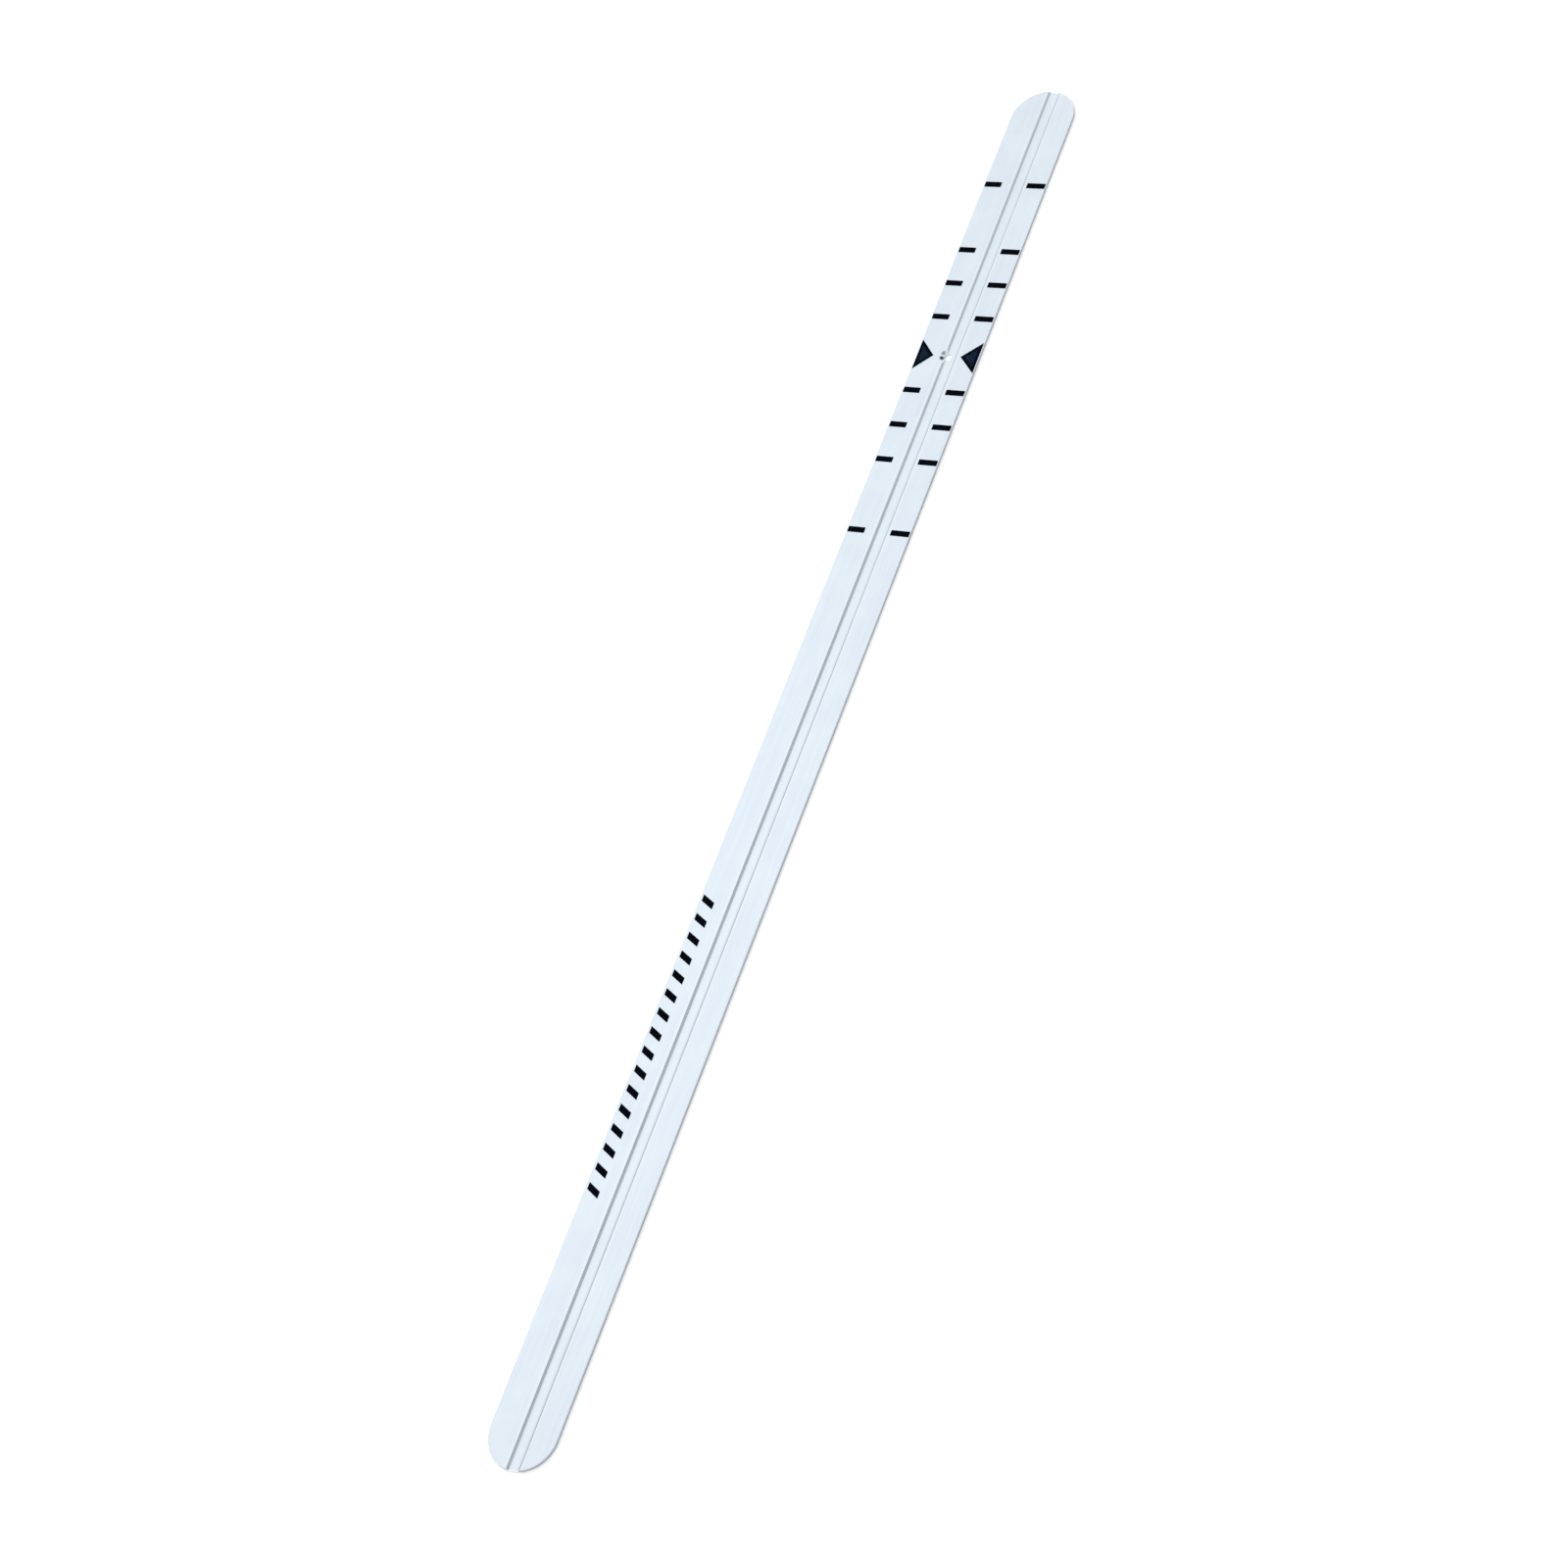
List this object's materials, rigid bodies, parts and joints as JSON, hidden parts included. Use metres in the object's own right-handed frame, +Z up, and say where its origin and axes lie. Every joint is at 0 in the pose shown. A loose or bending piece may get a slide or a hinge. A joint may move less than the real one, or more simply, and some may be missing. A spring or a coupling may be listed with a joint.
{
  "type": "alignment stick",
  "caption": "Flat golf putting rail with round ends, a shallow groove along its length, a ball hole, and printed tick, pointer and hatch marks.",
  "frame": {"origin": "middle of the underside's bounding box, so the rail lies on z = 0", "axes": "+X across the rail, +Y along it towards the marked end, +Z up out of the printed top face"},
  "size_m": [0.0426, 0.914, 0.0021],
  "materials": {
    "rail": "satin, pale bluish-white anodised",
    "ink": "matte black printed ink film"
  },
  "bodies": {
    "root": {"rail": "rail", "left_pointer": "ink", "right_pointer": "ink", "left_tick_1": "ink", "left_tick_2": "ink", "left_tick_3": "ink", "left_tick_4": "ink", "left_tick_5": "ink", "left_tick_6": "ink", "left_tick_7": "ink", "left_tick_8": "ink", "right_tick_1": "ink", "right_tick_2": "ink", "right_tick_3": "ink", "right_tick_4": "ink", "right_tick_5": "ink", "right_tick_6": "ink", "right_tick_7": "ink", "right_tick_8": "ink", "hatch_bar_1": "ink", "hatch_bar_2": "ink", "hatch_bar_3": "ink", "hatch_bar_4": "ink", "hatch_bar_5": "ink", "hatch_bar_6": "ink", "hatch_bar_7": "ink", "hatch_bar_8": "ink", "hatch_bar_9": "ink", "hatch_bar_10": "ink", "hatch_bar_11": "ink", "hatch_bar_12": "ink", "hatch_bar_13": "ink", "hatch_bar_14": "ink", "hatch_bar_15": "ink", "hatch_bar_16": "ink"}
  },
  "joints": []
}
